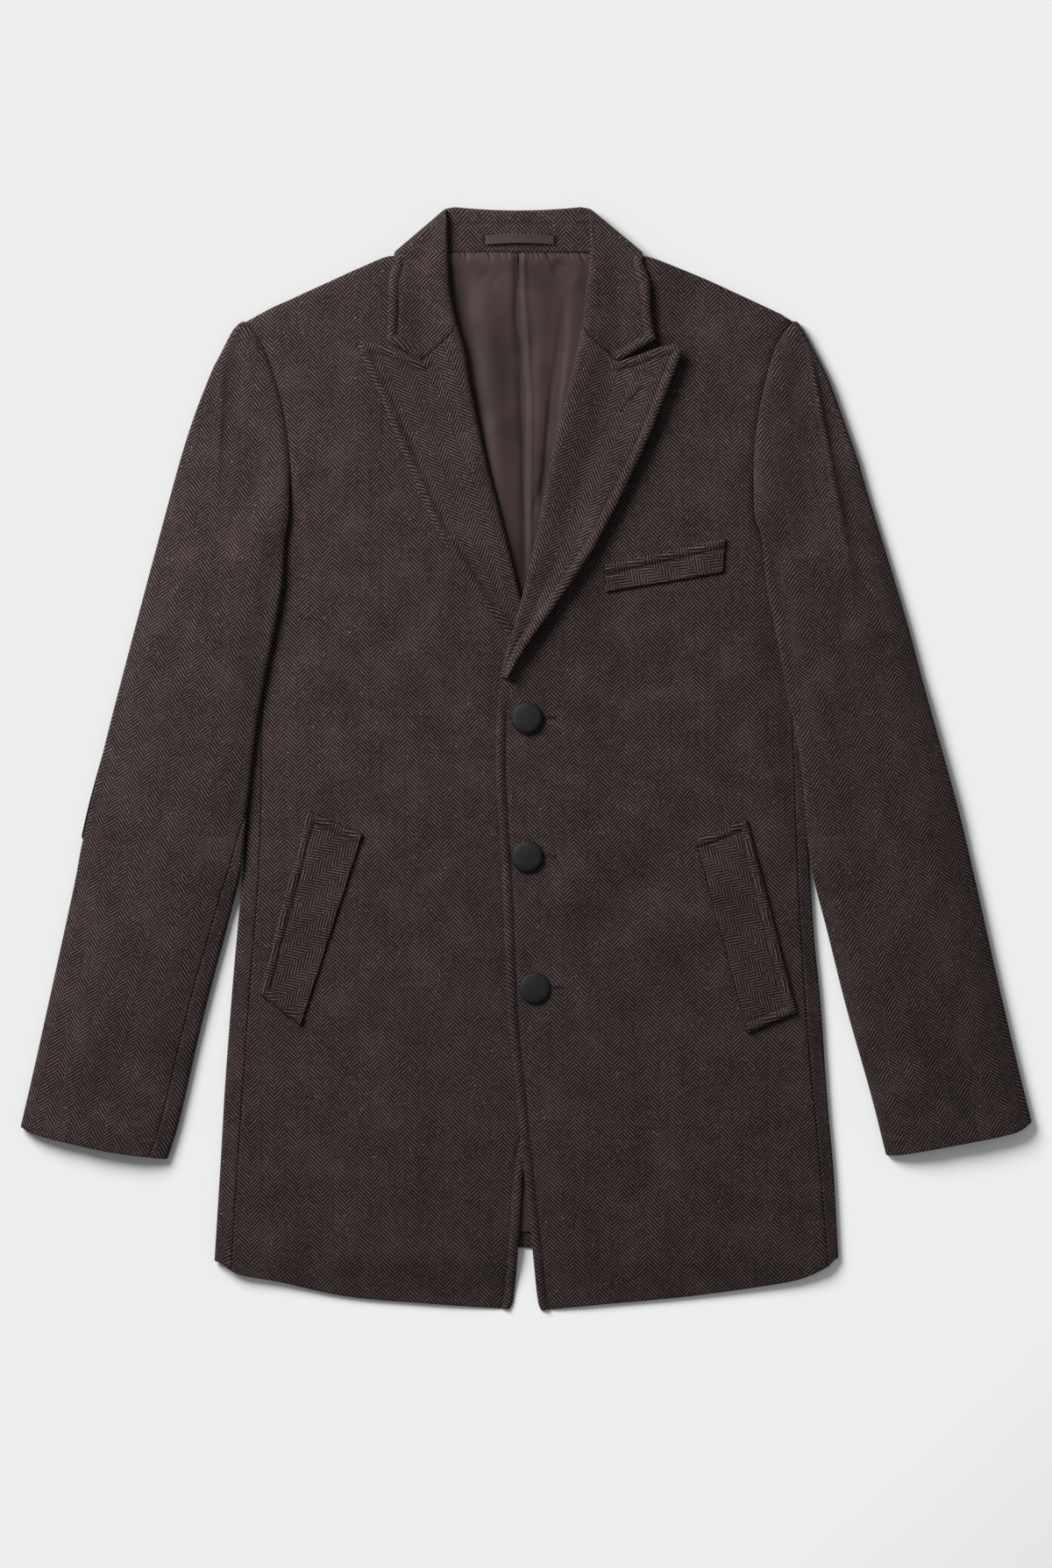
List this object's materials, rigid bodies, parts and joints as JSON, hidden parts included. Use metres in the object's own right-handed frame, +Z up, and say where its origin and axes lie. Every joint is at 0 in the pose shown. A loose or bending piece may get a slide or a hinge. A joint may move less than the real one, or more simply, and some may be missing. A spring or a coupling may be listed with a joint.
{
  "type": "tweed overcoat",
  "caption": "Single-breasted herringbone tweed overcoat with peak lapels, slanted hip welts and matt covered buttons, buttoned and laid flat face up.",
  "frame": {"origin": "centre of the coat's bounding box on the surface it lies on", "axes": "+Y from the hem to the collar, +Z up out of the coat's face, +X towards the front that laps on top"},
  "size_m": [0.8194, 0.8947, 0.0218],
  "materials": {
    "tweed": "napped herringbone wool",
    "lining": "satin",
    "suede": "suede",
    "button": "matt, covered"
  },
  "bodies": {
    "root": {"back": "tweed", "back_lining": "lining", "front_left": "tweed", "front_right": "tweed", "lapel_left": "tweed", "lapel_right": "tweed", "collar": "tweed", "collar_stand": "tweed", "hanger_loop": "lining", "sleeve_upper_left": "tweed", "sleeve_upper_right": "tweed", "sleeve_under_left": "tweed", "sleeve_under_right": "tweed", "elbow_patch_left": "suede", "elbow_patch_right": "suede", "welt_chest": "tweed", "welt_hip_left": "tweed", "welt_hip_right": "tweed", "button_1": "button", "button_2": "button", "button_3": "button"}
  },
  "joints": []
}
